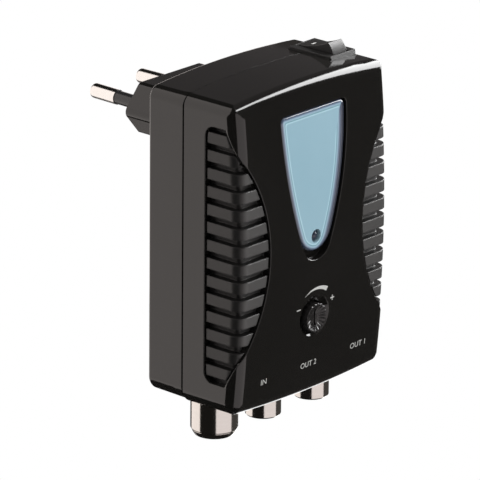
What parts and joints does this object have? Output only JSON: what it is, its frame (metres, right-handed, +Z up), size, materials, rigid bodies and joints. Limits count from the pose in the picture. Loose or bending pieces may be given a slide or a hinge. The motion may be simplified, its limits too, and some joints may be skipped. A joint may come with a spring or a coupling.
{
  "type": "plug-in aerial amplifier",
  "caption": "Plug-in TV aerial amplifier: bowed black case on a mains plug, ribbed side windows, shield badge, gain knob in a well, rocker switch on top and coaxial connectors below.",
  "frame": {"origin": "centre of the plug's face, midway between the two mains pins", "axes": "+Y points out of the plug's face towards the wall, +Z up, +X to the right seen from the front; the front faces -Y"},
  "size_m": [0.0584, 0.0704, 0.0976],
  "materials": {
    "front_shell": "glossy black",
    "rear_shell": "satin black",
    "grille": "satin dark grey",
    "badge": "pale blue, glossy",
    "lens": "dark translucent",
    "knob": "satin black",
    "switch": "glossy black",
    "rocker": "glossy black",
    "nickel": "nickel plated",
    "brass": "bare brass",
    "insulator": "natural white",
    "sleeve": "glossy black",
    "board": "green laminate",
    "tinplate": "tinned sheet",
    "core": "laminated steel",
    "winding": "taped copper winding",
    "capacitor": "dark blue sleeve",
    "potentiometer": "dark moulding",
    "steel": "zinc plated",
    "print": "printed in white"
  },
  "bodies": {
    "case": {"rear_case": "rear_shell", "front_case": "front_shell", "grille_left": "grille", "grille_right": "grille", "badge": "badge", "led": "lens", "pot_body": "potentiometer", "switch_frame": "switch", "rocker_axle": "steel", "switch_terminals": "brass", "in_shell": "nickel", "in_insulator": "insulator", "in_contact": "brass", "out1_shell": "nickel", "out1_insulator": "insulator", "out1_pin": "brass", "out2_shell": "nickel", "out2_insulator": "insulator", "out2_pin": "brass", "plug_pin_left": "nickel", "plug_pin_right": "nickel", "pin_sleeves": "sleeve", "pin_straps": "brass", "circuit_board": "board", "shield_can": "tinplate", "transformer_core": "core", "transformer_coil": "winding", "capacitors": "capacitor", "case_screws": "steel"},
    "knob": {"gain_knob": "knob", "pot_shaft": "steel"},
    "rocker": {"rocker": "rocker"}
  },
  "joints": [
    {"name": "gain_turn", "type": "hinge", "parent": "case", "child": "knob", "pos_m": [0, -0.05, -0.04825], "axis": [0, 1, 0], "range_deg": [-135, 135]},
    {"name": "rocker_tilt", "type": "hinge", "parent": "case", "child": "rocker", "pos_m": [0.0218, -0.0332, 0.01375], "axis": [1, 0, 0], "range_deg": [0, 28]}
  ]
}
